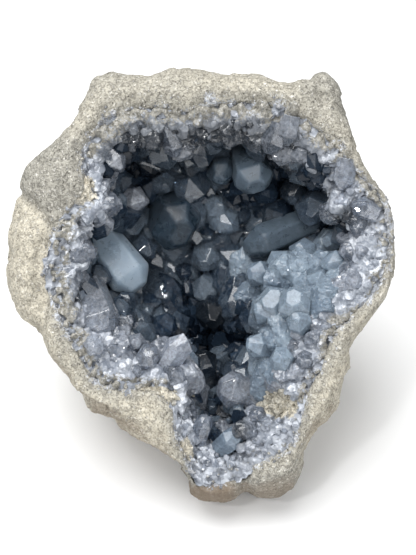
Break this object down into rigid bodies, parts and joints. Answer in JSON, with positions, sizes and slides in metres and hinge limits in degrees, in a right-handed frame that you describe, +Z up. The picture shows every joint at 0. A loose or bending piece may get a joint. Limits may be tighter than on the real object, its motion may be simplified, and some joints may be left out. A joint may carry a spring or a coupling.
{
  "type": "celestite geode",
  "caption": "Broken-open limestone nodule whose deep hollow is lined with pale to slate blue celestite crystals; leans back on a small flat spot.",
  "frame": {"origin": "middle of the geode's bounding box, at its underside", "axes": "+Z up; the broken face and its hollow look towards -Y and up at 45 degrees; +X is to the right as the hollow is looked into"},
  "size_m": [0.239, 0.2126, 0.2205],
  "materials": {
    "limestone": "matte",
    "celestite": "gloss"
  },
  "bodies": {
    "root": {"limestone_nodule": "limestone", "celestite_crust": "celestite"}
  },
  "joints": []
}
